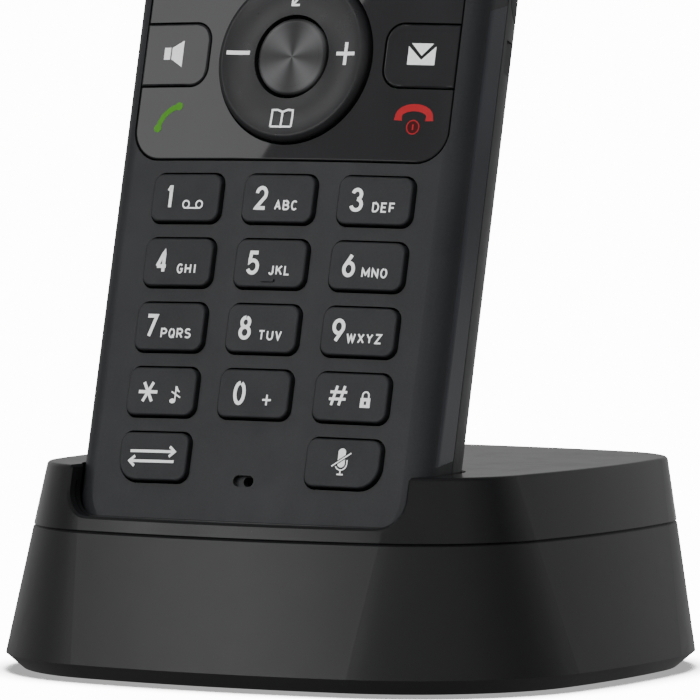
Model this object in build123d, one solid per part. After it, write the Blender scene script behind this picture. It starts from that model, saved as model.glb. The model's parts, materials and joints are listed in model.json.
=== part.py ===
"""Cordless handset standing in its charging cradle, in millimetres.

The object's frame has its origin on the standing surface, under the middle of the cradle:
+X is the handset's right-hand side as it faces the user, -Y is the front and +Z is up.
The handset is drawn in a frame of its own, in which X is its width, Y runs along it towards
the earpiece and Z points out of its face. That frame leans back with the handset.
"""
from build123d import *
import math
import os

os.makedirs("parts", exist_ok=True)

# ---------------------------------------------------------------- driving dimensions, cradle
BASE_TOP = (68.9, 63.6)          # width and depth of the cradle at its top face
BASE_FOOT = (81.2, 72.4)         # width and depth at the top of the bottom chamfer
TOP_SHIFT = 2.0                  # the top lies this far back of the foot
BASE_HEIGHT = 26.2               # standing surface to top face
PARTING_HEIGHT = 18.2            # joint between glossy cover and lower housing
TOP_ROUND = 0.5                  # rounding of the top face's rim
CUT_BEVEL = 0.3                  # bevel round the front opening
CHAMFER_HEIGHT = 2.2             # top of the bottom chamfer
CHAMFER = 2.4
FOOT_GAP = 0.35                  # how far the rubber feet lift the housing
SIDE_BULGE_RADIUS = 123.5        # the four sides are gently bowed
TOP_CORNER_RADIUS = 13.2
FOOT_CORNER_RADIUS = 24.3
HOUSING_WALL = 1.5
COVER_PLATE = 2.0
LINE_CHAMFER = 0.2               # reveal at each parting line
INLET_HEIGHT = 9.0               # power socket's axis above the standing surface
INLET_HOLE = 4.6                 # radius of the hole for it in the rear wall
INLET_DEPTH = 2.9                # its collar's root lies this far inside the foot's depth
INLET_BLOCK = (9.0, 12.0, 9.6)
INLET_BORE = 2.8
INLET_PIN = 1.0
BOTTOM_THICK = 2.0               # bottom plate
FIT_GAP = 0.1                    # between parts that are fixed to each other
WELL_FOOT = 3.0                  # lowest height that the pocket's walls reach
BOSS_RADIUS = 2.7                # the cover's screw bosses
PILOT_RADIUS = 1.25
PILOT_TOP = 14.0

# ---------------------------------------------------------------- driving dimensions, handset
LEAN = 13.7                      # degrees back from upright
RING_CENTRE = (0.0, -13.7, 76.5)
WIDTH = 50.0
TOP_END = 78.0                   # handset's ends, measured along it from the ring's centre
BOTTOM_END = -63.0
THICKNESS = 17.35
FACE_RADIUS = 250.0              # crown of the face across the width
BACK_RADIUS = 80.0
PLAN_CORNER = 8.5
FRONT_ROUND = 3.3
BACK_ROUND = 7.5
FRONT_WALL = 2.2
SIDE_WALL = 1.6
SPLIT = -7.3                     # plane between front shell and back cover
PARTING_GAP = 0.12
TRIM_FRONT = -3.4                # side trims lie between this plane and the split
TRIM_DEPTH = 0.9
TRIM_ALONG = (-50.0, 6.8)        # ends of a side trim's front edge
TRIM_SLANT = 1.6                 # both ends lean up by this much towards the back
OVER = 5.0                       # cutters run past what they cut by this much
BEHIND = -30.0                   # a depth well behind the handset's back
CROWN_LENGTH = 400.0

COLUMN_PITCH = 13.5
ROW_PITCH = 8.15
COLUMN_SHIFT = 0.4               # the number pad sits a little to the right of the middle
FIRST_ROW = -17.86
KEY_SIZE = (10.1, 6.0)
KEY_CORNER = 1.3
KEY_BIG_CORNER = 2.8
KEY_RISE = 0.65
KEY_EDGE = 0.25
KEY_GAP = 0.28
KEY_FLANGE = 0.6                 # rim that keeps a key behind the shell: width and thickness
KEY_PLAY = 0.1                   # between that rim and the shell
NIB = (2.0, 0.4)
NIB_DROP = 2.1                   # the mark lies this far below the key's middle
NIB_RISE = 0.22                  # finger mark on the 5 key

PLATE_HALF = 22.4                # glossy function plate round the ring
PLATE_BOTTOM = -12.85
PLATE_TOP = 19.4
PLATE_CORNER = 4.0
PLATE_THICK = 1.6
PLATE_LOW = -2.2                 # underside of the plate, its keys, the ring and the button
PLATE_EDGE = 0.2
PANEL_KEY_RISE = 0.12
PANEL_KEY_EDGE = 0.25
PANEL_GAP = 0.2
SIDE_KEY_INNER = 12.65           # speaker and message keys run from here to the plate's edge
SIDE_KEY_LOW = -3.5
SIDE_KEY_HIGH = 4.45
SIDE_KEY_CORNER = 2.3
SOFT_KEY_LOW = 12.4
SOFT_KEY_INNER = 5.5
SOFT_KEY_CORNER = 1.5

RING_OUTER = 10.7
RING_INNER = 5.3
RING_RISE = 0.95
RING_ROUND = 0.85                # rounding of the ring's outer rim
RING_DIP = 0.68                  # lowest part of the ring's dished face
BUTTON_RADIUS = 5.0
BUTTON_RISE = 0.8
BUTTON_EDGE = 0.5
PAD_RADII = (9.6, 5.6)           # elastomer pad under the ring
PAD_SPAN = (-3.7, -2.9)

LENS_LOW = 20.0
LENS_HIGH = 67.0
LENS_THICK = 1.2
WINDOW = (35.0, 40.0)
WINDOW_CENTRE = 44.0
EARPIECE_AT = 72.2
LAMP_AT = 19.2                   # signal lamp beside the earpiece
MIC_AT = -53.07
MIC_RECESS = (2.9, 1.4, 0.15)    # shallow slot round the microphone's hole: size and place
MIC_HOLE = (1.75, 1.2, 0.67)
MIC_SINK = -0.7

BATTERY = (34.0, 46.0, 4.4)
BATTERY_CENTRE = -18.0
DOOR = (36.4, 50.0)
DOOR_CORNER = 3.0
DOOR_THICK = 1.4
DOOR_GAP = 0.12
BAY_WALL = 0.7                   # the battery bay's floor plate
NOTCH = (1.9, 4.2, 4.0)          # belt-clip notches, one on each side
NOTCH_AT = (25.3, 2.2, -10.2)
BAY_FLOOR = -9.3                 # the battery bay's floor, below the handset's face
JACK_AT = (11.8, -10.8)          # headset jack on the right side: along, and below the face
JACK_PORT = (9.6, 5.2)
JACK_INNER = 19.0                # the port and its cover reach in to here
JACK_BLOCK = (9.5, 6.0, 4.2)
JACK_BORE = 1.75
SCREW_SEAT = -10.8               # under the heads of the handset's screws
POST_SPOTS = ((-15.0, -57.8), (15.0, -57.8), (-15.0, 71.0), (15.0, 71.0))

# ---------------------------------------------------------------- driving dimensions, inside
BOARD = (44.0, 126.0)
BOARD_CENTRE = 7.0
BOARD_SPAN = (-7.6, -6.4)        # lowest and highest point of a part, below the handset's face
BOARD_HOLE = 3.7
DOME_SPAN = (-6.2, -5.9)
MAT = (43.0, 41.0)
MAT_CENTRE = -33.5
MAT_SPAN = (-5.6, -4.9)
NUB_TOP = -4.25
NUB_RADIUS = 1.8
MIC_RADIUS = 2.2
MIC_CLEAR = 2.8                  # hole in mat and dome sheet round the microphone
CAN_SPAN = (-6.2, -3.6)          # earpiece and microphone
EARPIECE_CAN = (15.0, 8.0)
EARPIECE_CENTRE = 70.0
MESH_SPAN = (-3.0, -2.5)
DISPLAY_SPAN = (-5.9, -3.7)
RINGER_AT = 50.0
RINGER_RADII = (7.4, 5.6)
RINGER_SPAN = (-15.0, -11.0)
RINGER_FLOOR = -14.4
LAMP_SPAN = (-5.0, -0.75)

# ---------------------------------------------------------------- driving dimensions, pocket
POCKET_GAP = 0.5
POCKET_WALL = 1.2
CUT_HALF = 24.0                  # U-shaped opening in front of the handset
CUT_FLOOR = 20.1
CUT_CORNER = 3.4
CUT_FROM = -45.0                 # the opening's cutter runs back from here
CUT_TO = -23.0
CONTACT_SPACING = 18.0
CONTACT_N = -8.0                 # below the handset's face
CONTACT_RECESS = 1.0
CONTACT_SLACK = 0.05
CONTACT_SLOT = (5.0, 6.0, 3.2)
SPRING_WINDOW = (4.4, 2.4)       # slot that a spring contact slides in
SPRING_STRIP = (4.0, 2.8)        # bent strip's outer and inner width

SCREW_SPOTS = ((30.0, -8.0), (-30.0, -8.0), (16.0, 26.5), (-16.0, 26.5))
FOOT_SPOTS = ((22.0, -19.0), (-22.0, -19.0), (22.0, 21.0), (-22.0, 21.0))
BASE_SCREW_HEAD = 2.6
BASE_SCREW_SHANK = 1.2
BASE_SCREW_SEAT = FOOT_GAP + 1.2 # height of the underside of a head
BASE_SCREW_TIP = 12.0
FOOT_RADIUS = 4.0
FOOT_THICK = 1.4

handset_plane = Plane(
    origin=RING_CENTRE,
    x_dir=(1, 0, 0),
    z_dir=(0, -math.cos(math.radians(LEAN)), math.sin(math.radians(LEAN))),
)


def save(name, shape):
    """Writes one node."""
    export_step(shape, f"parts/{name}.step")


def save_on_handset(name, shape):
    """Writes a node drawn in the handset's frame."""
    save(name, handset_plane.location * shape)


def group(shapes):
    return Compound(children=list(shapes))


def slab(width, depth, low, high, x=0.0, y=0.0):
    """A box by its plan size and its lowest and highest Z."""
    return Pos(x, y, (low + high) / 2) * Box(width, depth, high - low)


def disc(radius, low, high, x=0.0, y=0.0):
    return Pos(x, y, (low + high) / 2) * Cylinder(radius, high - low)


def prism(sketch, low, high):
    """A plan sketch raised from one height to another."""
    return extrude(Pos(0, 0, low) * sketch, high - low)


def cross_slot(length, width, low, high, x, y):
    """Cross-shaped driver recess."""
    return slab(length, width, low, high, x, y) + slab(width, length, low, high, x, y)


# ================================================================ cradle
def squircle(width, depth, corner, z):
    """Rounded rectangle with bowed sides: four large arcs with four corner arcs tangent to them."""
    a = width / 2
    b = depth / 2
    bow = SIDE_BULGE_RADIUS
    reach = bow - corner
    # corner centre: reach away from both large-arc centres, (a - bow, 0) and (0, b - bow)
    p = bow - a
    q = bow - b
    gap = math.hypot(p, q)
    middle = (-p / 2, -q / 2)
    rise = math.sqrt(reach**2 - gap**2 / 4)
    cx = middle[0] + rise * q / gap
    cy = middle[1] + rise * p / gap
    on_side = (cx + corner * (cx + p) / reach, cy + corner * cy / reach)
    on_front = (cx + corner * cx / reach, cy + corner * (cy + q) / reach)
    diagonal = ((on_side[0] + on_front[0]) / 2 - cx, (on_side[1] + on_front[1]) / 2 - cy)
    scale = corner / math.hypot(*diagonal)
    tip = (cx + diagonal[0] * scale, cy + diagonal[1] * scale)
    edges = []
    for sx, sy in ((1, 1), (-1, 1), (-1, -1), (1, -1)):
        edges.append(
            ThreePointArc(
                (sx * on_side[0], sy * on_side[1]),
                (sx * tip[0], sy * tip[1]),
                (sx * on_front[0], sy * on_front[1]),
            )
        )
    for sign in (1, -1):
        edges.append(
            ThreePointArc(
                (on_front[0], sign * on_front[1]), (0, sign * b), (-on_front[0], sign * on_front[1])
            )
        )
        edges.append(
            ThreePointArc(
                (sign * on_side[0], on_side[1]), (sign * a, 0), (sign * on_side[0], -on_side[1])
            )
        )
    return Pos(0, 0, z) * make_face(edges)


def base_section(z, inset):
    """The cradle's outline at height z, moved in by inset. The sides flare towards the foot."""
    share = (BASE_HEIGHT - z) / (BASE_HEIGHT - CHAMFER_HEIGHT)
    width = BASE_TOP[0] + (BASE_FOOT[0] - BASE_TOP[0]) * share
    depth = BASE_TOP[1] + (BASE_FOOT[1] - BASE_TOP[1]) * share
    corner = TOP_CORNER_RADIUS + (FOOT_CORNER_RADIUS - TOP_CORNER_RADIUS) * share
    outline = squircle(width - 2 * inset, depth - 2 * inset, corner - inset, z)
    return Pos(0, TOP_SHIFT * (1 - share)) * outline


def base_block(low, high, inset=0.0):
    """The cradle's flared outer form between two heights."""
    return loft([base_section(low, inset), base_section(high, inset)], ruled=True)


def pocket_block(grow, floor_drop):
    """The handset's section, grown all round, run down to below its bottom end."""
    low = BOTTOM_END - floor_drop
    high = 2 * OVER
    block = slab(WIDTH + 2 * grow, high - low, -THICKNESS - OVER, OVER, y=(low + high) / 2)
    block = block & crown(FACE_RADIUS, grow, face=True) & crown(BACK_RADIUS, grow, face=False)
    along = block.edges().filter_by(Axis.Y).sort_by(Axis.Z)
    block = fillet(along[-2:], FRONT_ROUND + grow)
    along = block.edges().filter_by(Axis.Y).sort_by(Axis.Z)
    block = fillet(along[:2], BACK_ROUND + grow)
    return handset_plane.location * block


def crown(radius, grow, face):
    """Large cylinder along the handset whose surface is its crowned face, or its crowned back."""
    z = -radius if face else radius - THICKNESS
    return Pos(0, 0, z) * Rot(90, 0, 0) * Cylinder(radius + grow, CROWN_LENGTH)


def contact_spot(side, along, depth=CONTACT_N):
    """A place under the handset's bottom end, in the handset's frame."""
    return Pos(side * CONTACT_SPACING / 2, along, depth)


def base_cover():
    """Glossy upper part, with the pocket that the handset stands in hanging from it."""
    edge = PARTING_HEIGHT + LINE_CHAMFER
    cover = loft(
        [
            base_section(PARTING_HEIGHT, LINE_CHAMFER),
            base_section(edge, 0.0),
            base_section(BASE_HEIGHT, 0.0),
        ],
        ruled=True,
    )
    cover = fillet(cover.faces().sort_by(Axis.Z)[-1].edges(), TOP_ROUND)
    cover -= base_block(PARTING_HEIGHT - 1, BASE_HEIGHT - COVER_PLATE, inset=HOUSING_WALL)
    room = base_block(WELL_FOOT, BASE_HEIGHT - TOP_ROUND, inset=HOUSING_WALL + 1.5 * FIT_GAP)
    well = pocket_block(POCKET_GAP + POCKET_WALL, POCKET_WALL) & room
    cover += well
    for x, y in SCREW_SPOTS:
        cover += disc(BOSS_RADIUS, FOOT_GAP + BOTTOM_THICK, BASE_HEIGHT - TOP_ROUND - 1, x, y)
    cover -= pocket_block(POCKET_GAP, 0.0)
    for x, y in SCREW_SPOTS:
        cover -= disc(PILOT_RADIUS, FOOT_GAP, PILOT_TOP, x, y)
    cover -= front_cut()
    cover = chamfer(front_rim(cover), CUT_BEVEL)
    width, thick = SPRING_WINDOW
    for side in (-1, 1):
        slot = Box(width, 8 * POCKET_WALL, thick)
        cover -= handset_plane.location * (contact_spot(side, BOTTOM_END - 1) * slot)
    return cover


def front_cut():
    """U-shaped opening in the cover's front wall that bares the handset's lowest keys."""
    high = BASE_HEIGHT + OVER
    outline = RectangleRounded(2 * CUT_HALF, 2 * (high - CUT_FLOOR), CUT_CORNER)
    front = Plane(origin=(0, CUT_FROM, high), x_dir=(1, 0, 0), z_dir=(0, 1, 0))
    return extrude(front * outline, CUT_TO - CUT_FROM)


def front_rim(cover):
    """The outer edges of that opening, on the cover's sloping front wall."""
    rim = []
    for edge in cover.edges():
        middle = edge @ 0.5
        share = (BASE_HEIGHT - middle.Z) / (BASE_HEIGHT - CHAMFER_HEIGHT)
        depth = BASE_TOP[1] + (BASE_FOOT[1] - BASE_TOP[1]) * share
        wall = TOP_SHIFT * (1 - share) - depth / 2 + middle.X**2 / (2 * SIDE_BULGE_RADIUS)
        beside = abs(middle.X) < CUT_HALF + 0.01 and middle.Z > CUT_FLOOR - 0.01
        below_rim = middle.Z < BASE_HEIGHT - TOP_ROUND - 0.01
        if beside and below_rim and abs(middle.Y - wall) < HOUSING_WALL / 2:
            rim.append(edge)
    return rim


def base_housing():
    """Lower body: an open skirt with a chamfer round the foot."""
    body = loft(
        [
            base_section(FOOT_GAP, CHAMFER + LINE_CHAMFER),
            base_section(CHAMFER_HEIGHT, 0.0),
            base_section(PARTING_HEIGHT - LINE_CHAMFER, 0.0),
            base_section(PARTING_HEIGHT, LINE_CHAMFER),
        ],
        ruled=True,
    )
    inner_foot = WELL_FOOT + 1
    body -= prism(base_section(0.0, CHAMFER + HOUSING_WALL), FOOT_GAP - 1, inner_foot)
    body -= base_block(inner_foot - FIT_GAP, PARTING_HEIGHT + 1, inset=HOUSING_WALL)
    return body - rear_cylinder(INLET_HOLE, BASE_FOOT[1] / 2, 8.0)


def rear_cylinder(radius, middle, length):
    """Cylinder on the power inlet's axis."""
    return Pos(0, middle, INLET_HEIGHT) * Rot(90, 0, 0) * Cylinder(radius, length)


def base_plate():
    """Bottom plate, flush inside the housing's foot."""
    outline = base_section(0.0, CHAMFER + HOUSING_WALL + FIT_GAP)
    plate = prism(outline, FOOT_GAP, FOOT_GAP + BOTTOM_THICK)
    for x, y in SCREW_SPOTS:
        plate -= disc(PILOT_RADIUS + 0.25, 0, OVER, x, y)
        plate -= disc(BASE_SCREW_HEAD + 0.3, 0, BASE_SCREW_SEAT, x, y)
    for x, y in FOOT_SPOTS:
        plate -= disc(FOOT_RADIUS + FIT_GAP / 2, 0, FOOT_THICK, x, y)
    return plate


def base_foot(x, y):
    pad = disc(FOOT_RADIUS, 0, FOOT_THICK, x, y)
    return fillet(pad.edges().sort_by(Axis.Z)[0], 0.3)


def base_screw(x, y):
    head = disc(BASE_SCREW_HEAD, FOOT_GAP + FIT_GAP, BASE_SCREW_SEAT, x, y)
    shank = disc(BASE_SCREW_SHANK, BASE_SCREW_SEAT, BASE_SCREW_TIP, x, y)
    return head + shank - cross_slot(3.0, 0.6, 0, BASE_SCREW_SEAT - 0.6, x, y)


def charge_board():
    board = slab(46.0, 18.0, 4.2, 5.8, y=-18.0)
    board += slab(8.0, 6.0, 5.8, 7.4, x=14.0, y=-20.0)
    board += slab(5.0, 4.0, 5.8, 7.0, x=-14.0, y=-20.0)
    return board


def contact_carrier():
    """Block under the pocket's floor in which the two spring contacts slide."""
    high = BOTTOM_END - POCKET_WALL
    low = high - 3.4
    block = Pos(0, (low + high) / 2, CONTACT_N) * Box(28.0, high - low, 7.0)
    width, thick = SPRING_WINDOW
    for side in (-1, 1):
        block -= contact_spot(side, (low + high) / 2) * Box(width, 6.0, thick)
    return block


def spring_contact(side):
    """Bent strip whose rounded crown stands above the pocket's floor."""
    crown_at = BOTTOM_END + CONTACT_RECESS - CONTACT_SLACK
    low = BOTTOM_END - POCKET_WALL - 2.2
    outer, inner = SPRING_STRIP
    outline = Rectangle(outer, crown_at - low)
    outline = fillet(outline.vertices().group_by(Axis.Y)[-1], 0.45 * outer)
    outline -= Pos(0, -0.5) * Rectangle(inner, crown_at - low)
    strip = extrude(outline, 1.0, both=True)
    return Pos(side * CONTACT_SPACING / 2, (crown_at + low) / 2, CONTACT_N) * strip


def dc_inlet():
    """Power socket: a moulded block behind the hole in the housing's rear wall."""
    face = BASE_FOOT[1] / 2 - INLET_DEPTH
    block = Pos(0, face - INLET_BLOCK[1] / 2, INLET_HEIGHT) * Box(*INLET_BLOCK)
    collar = rear_cylinder(INLET_HOLE - 0.2, face + 0.6, 1.6)
    bore = rear_cylinder(INLET_BORE, face - 3.0, 10.0)
    pin = rear_cylinder(INLET_PIN, face - 4.2, 8.0)
    return block + collar - bore + pin


save("base_cover", base_cover())
save("base_housing", base_housing())
save("base_plate", base_plate())
save("base_feet", group(base_foot(x, y) for x, y in FOOT_SPOTS))
save("base_screws", group(base_screw(x, y) for x, y in SCREW_SPOTS))
save("ballast_weight", slab(40.0, 15.0, FOOT_GAP + BOTTOM_THICK, 12.6, y=9.0))
save("charge_board", charge_board())
save_on_handset("contact_carrier", contact_carrier())
save_on_handset("charge_contact_left", spring_contact(-1))
save_on_handset("charge_contact_right", spring_contact(1))
save("dc_inlet", dc_inlet())


# ================================================================ handset, in its own frame
def handset_body(side=0.0, front=0.0, back=0.0):
    """The handset's whole form, moved in by the three insets."""
    length = TOP_END - BOTTOM_END - 2 * side
    plan = RectangleRounded(WIDTH - 2 * side, length, PLAN_CORNER - side)
    body = prism(Pos(0, (TOP_END + BOTTOM_END) / 2) * plan, -THICKNESS - OVER, OVER)
    body = body & crown(FACE_RADIUS, -front, face=True) & crown(BACK_RADIUS, -back, face=False)
    body = fillet(body.faces().sort_by(Axis.Z)[-1].edges(), FRONT_ROUND - side)
    body = fillet(body.faces().sort_by(Axis.Z)[0].edges(), BACK_ROUND - side)
    return body


whole = handset_body()
cavity = handset_body(side=SIDE_WALL, front=FRONT_WALL, back=SIDE_WALL)


def crown_drop(x):
    """How far the crowned face lies below its middle at a distance x from it."""
    return FACE_RADIUS - math.sqrt(FACE_RADIUS**2 - x**2)


def trim_outline():
    """Side view of a side trim, with slanted ends."""
    low, high = TRIM_ALONG
    points = [
        (high + TRIM_SLANT, SPLIT),
        (high, TRIM_FRONT),
        (low, TRIM_FRONT),
        (low + TRIM_SLANT, SPLIT),
    ]
    return make_face(Polyline(*points, close=True))


def trim_block(side, depth):
    """The part of the handset's skin, depth thick, that a side trim fills."""
    across = Plane(origin=(0, 0, 0), x_dir=(0, 1, 0), z_dir=(1, 0, 0))
    reach = extrude(across * trim_outline(), side * WIDTH)
    return (whole & reach) - handset_body(side=depth)


def key_outline(x, y, size, corner, grow=0.0, big_corner=None):
    """Rounded key outline. big_corner is the sign of X of the one lower corner that is rounder."""
    width = size[0] + 2 * grow
    height = size[1] + 2 * grow
    outline = Rectangle(width, height)
    corners = outline.vertices()
    if big_corner is None:
        outline = fillet(corners, corner + grow)
    else:
        rounder = corners.sort_by(lambda v: v.X * big_corner - v.Y)[-1]
        outline = fillet([c for c in corners if c is not rounder], corner + grow)
        rounder = outline.vertices().sort_by(lambda v: v.X * big_corner - v.Y)[-1]
        outline = fillet(rounder, KEY_BIG_CORNER + grow)
    return Pos(x, y) * outline


def keypad():
    """Name, place and rounder corner of each key of the number pad."""
    rows = (
        ("key_1", "key_2", "key_3"),
        ("key_4", "key_5", "key_6"),
        ("key_7", "key_8", "key_9"),
        ("key_star", "key_0", "key_hash"),
        ("key_transfer", None, "key_mute"),
    )
    for row, names in enumerate(rows):
        for column, name in zip((-1, 0, 1), names):
            if name:
                big = column if row == 4 else None
                along = FIRST_ROW - row * ROW_PITCH
                yield name, column * COLUMN_PITCH + COLUMN_SHIFT, along, big


def capped(sketch, rise, low, edge):
    """A key cap: the sketch raised to the crowned face and above it by rise, with a softened edge."""
    cap = prism(sketch, low, OVER) & crown(FACE_RADIUS, rise, face=True)
    return fillet(cap.faces().sort_by(Axis.Z)[-1].edges(), edge)


def number_key(name, x, y, big):
    cap_low = -FRONT_WALL - crown_drop(abs(x) + KEY_SIZE[0] / 2) - KEY_PLAY
    outline = key_outline(x, y, KEY_SIZE, KEY_CORNER, big_corner=big)
    cap = capped(outline, KEY_RISE, cap_low, KEY_EDGE)
    flange = key_outline(x, y, KEY_SIZE, KEY_CORNER, grow=KEY_FLANGE)
    cap += prism(flange, cap_low - KEY_FLANGE, cap_low)
    if name == "key_5":
        cap += prism(Pos(x, y - NIB_DROP) * SlotOverall(*NIB), 0.0, KEY_RISE + NIB_RISE)
    return cap


def plate_outline(grow=0.0):
    width = 2 * (PLATE_HALF + grow)
    height = PLATE_TOP - PLATE_BOTTOM + 2 * grow
    return Pos(0, (PLATE_TOP + PLATE_BOTTOM) / 2) * RectangleRounded(width, height, PLATE_CORNER + grow)


def side_key_outline(side, grow=0.0):
    """Speaker or message key: open to the plate's edge, rounded on its inner side."""
    inner = SIDE_KEY_INNER - grow
    outer = PLATE_HALF
    width = outer - inner
    outline = Rectangle(width, SIDE_KEY_HIGH - SIDE_KEY_LOW + 2 * grow)
    inner_corners = outline.vertices().group_by(Axis.X)[0 if side > 0 else -1]
    outline = fillet(inner_corners, SIDE_KEY_CORNER + grow)
    return Pos(side * (inner + outer) / 2, (SIDE_KEY_HIGH + SIDE_KEY_LOW) / 2) * outline


def soft_key_outline(side, grow=0.0):
    """Soft key in the plate's upper corner."""
    width = PLATE_HALF
    height = PLATE_TOP - SOFT_KEY_LOW + OVER
    middle = (side * (SOFT_KEY_INNER - grow + width / 2), SOFT_KEY_LOW - grow + height / 2)
    return Pos(*middle) * RectangleRounded(width, height, SOFT_KEY_CORNER) & plate_outline()


def function_plate():
    plate = capped(plate_outline(), 0.0, PLATE_LOW, PLATE_EDGE)
    plate -= disc(RING_OUTER + KEY_GAP, -OVER, OVER)
    for side in (-1, 1):
        plate -= prism(side_key_outline(side, grow=PANEL_GAP), -OVER, OVER)
        plate -= prism(soft_key_outline(side, grow=PANEL_GAP), -OVER, OVER)
    return plate


def panel_key(outline):
    """A key let into the glossy plate, with a bevel inside its rim."""
    return capped(outline, PANEL_KEY_RISE, PLATE_LOW, PANEL_KEY_EDGE)


def nav_ring():
    """Rocker ring: a rounded rim above the plate, and a face that dips a little in its middle."""
    rim = (RING_OUTER - RING_ROUND, RING_RISE)
    side = (RING_OUTER, RING_RISE - RING_ROUND)
    corner_cut = RING_ROUND * (1 - math.sqrt(0.5))
    shoulder = (RING_OUTER - corner_cut, RING_RISE - corner_cut)
    dip = ((RING_OUTER + RING_INNER) / 2, RING_DIP)
    inner = (RING_INNER, (RING_RISE + RING_DIP) / 2)
    outline = [
        Polyline(inner, (RING_INNER, PLATE_LOW), (RING_OUTER, PLATE_LOW), side),
        ThreePointArc(side, shoulder, rim),
        ThreePointArc(rim, dip, inner),
    ]
    return revolve(Plane.XZ * make_face(outline), Axis.Z)


def nav_button():
    button = disc(BUTTON_RADIUS, PLATE_LOW, BUTTON_RISE)
    return fillet(button.edges().sort_by(Axis.Z)[-1], BUTTON_EDGE)


def nav_pad():
    """Elastomer pad that the ring rocks on."""
    outer, inner = PAD_RADII
    return disc(outer, *PAD_SPAN) - disc(inner, -OVER, 0)


def lens_outline(grow=0.0):
    height = LENS_HIGH - LENS_LOW + 2 * grow
    return Pos(0, (LENS_HIGH + LENS_LOW) / 2) * RectangleRounded(
        2 * (PLATE_HALF + grow), height, PLATE_CORNER + grow
    )


def lens():
    """Display window: its outer face is crowned with the shell, its back is flat."""
    return capped(lens_outline(), 0.0, -crown_drop(PLATE_HALF) - LENS_THICK, PLATE_EDGE)


def skin_between(low, high):
    """The handset's hollow skin between two depths."""
    middle = (TOP_END + BOTTOM_END) / 2
    return (whole - cavity) & slab(WIDTH + OVER, TOP_END - BOTTOM_END + OVER, low, high, y=middle)


def slot_cut(size, x, y, low):
    """Round-ended slot from depth low out through the face."""
    return prism(Pos(x, y) * SlotOverall(*size), low, OVER)


def front_shell():
    shell = skin_between(SPLIT, OVER)
    for x, y in POST_SPOTS:
        shell += disc(2.6, SPLIT, -FRONT_WALL - 0.2, x, y)
        shell -= disc(1.05, SPLIT - 1, -4.0, x, y)
    for name, x, y, big in keypad():
        hole = key_outline(x, y, KEY_SIZE, KEY_CORNER, grow=KEY_GAP, big_corner=big)
        shell -= prism(hole, SPLIT, OVER)
    shell -= prism(plate_outline(grow=PANEL_GAP), SPLIT, OVER)
    recess_floor = -crown_drop(PLATE_HALF) - LENS_THICK
    shell -= prism(lens_outline(grow=FIT_GAP / 2), recess_floor, OVER)
    window = Pos(0, WINDOW_CENTRE) * RectangleRounded(WINDOW[0] + 1, WINDOW[1] + 1, 1.0)
    shell -= prism(window, SPLIT, OVER)
    shell -= slot_cut((13.0, 1.8), 0.0, EARPIECE_AT, SPLIT)
    shell -= slot_cut((4.0, 1.4), LAMP_AT, EARPIECE_AT, SPLIT)
    shell -= slot_cut(MIC_RECESS[:2], MIC_RECESS[2], MIC_AT, MIC_SINK)
    shell -= slot_cut(MIC_HOLE[:2], MIC_HOLE[2], MIC_AT, SPLIT)
    for side in (-1, 1):
        shell -= trim_block(side, TRIM_DEPTH)
        shell -= contact_spot(side, BOTTOM_END) * Box(*CONTACT_SLOT)
    return shell


def back_skin():
    """The handset's skin behind the parting plane, a hair behind it to leave a dark line."""
    return skin_between(-THICKNESS - OVER, SPLIT - PARTING_GAP)


def door_outline(grow=0.0):
    size = (DOOR[0] + 2 * grow, DOOR[1] + 2 * grow)
    return Pos(0, BATTERY_CENTRE) * RectangleRounded(*size, DOOR_CORNER + grow)


def battery_bay():
    """Moulded box that holds the battery pack, a little larger than the door's opening."""
    rim = 2.6
    high = BAY_FLOOR + BAY_WALL
    bay = slab(DOOR[0] + rim, DOOR[1] + rim, -THICKNESS, high, y=BATTERY_CENTRE)
    return bay & handset_body(side=SIDE_WALL / 2, back=SIDE_WALL / 2)


def back_cover():
    cover = back_skin() + battery_bay()
    cover -= slab(BATTERY[0] + 1, BATTERY[1] + 1, BEHIND, BAY_FLOOR, y=BATTERY_CENTRE)
    opening = prism(door_outline(grow=DOOR_GAP), BEHIND, 0)
    cover -= opening - handset_body(back=DOOR_THICK + FIT_GAP)
    for row in range(4):
        grille_slot = Pos(0, RINGER_AT - 4.0 + 2.6 * row) * SlotOverall(14.0, 1.2)
        cover -= prism(grille_slot, BEHIND, RINGER_SPAN[0])
    for x, y in POST_SPOTS:
        post = disc(3.4, -THICKNESS, SPLIT - PARTING_GAP, x, y)
        cover += post & handset_body(side=SIDE_WALL / 2, back=SIDE_WALL / 2)
        cover -= disc(1.4, BEHIND, 0, x, y)
        cover -= disc(2.5, BEHIND, SCREW_SEAT, x, y)
    cover -= jack_stadium(grow=0.15)
    for side in (-1, 1):
        cover -= Pos(side * NOTCH_AT[0], *NOTCH_AT[1:]) * Box(*NOTCH)
        cover -= contact_spot(side, BOTTOM_END) * Box(*CONTACT_SLOT)
    return cover


def jack_stadium(grow=0.0):
    """Opening for the headset jack's rubber cover, through the right-hand side."""
    along, below = JACK_AT
    side_on = Plane(origin=(JACK_INNER, along, below), x_dir=(0, 1, 0), z_dir=(1, 0, 0))
    outline = SlotOverall(JACK_PORT[0] + 2 * grow, JACK_PORT[1] + 2 * grow)
    return extrude(side_on * outline, WIDTH / 2 - JACK_INNER + OVER)


def jack_cover():
    along, below = JACK_AT
    flap = (whole & jack_stadium()) - handset_body(side=1.4, back=1.4)
    plug = Pos(20.8, along, below) * Rot(0, 90, 0) * Cylinder(JACK_BORE - 0.15, 4.4)
    return flap + plug


def headset_jack():
    along, below = JACK_AT
    block = Pos(13.6, along, below) * Box(*JACK_BLOCK)
    bore = Pos(16.2, along, below) * Rot(0, 90, 0) * Cylinder(JACK_BORE, 13.0)
    return block - bore


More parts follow.
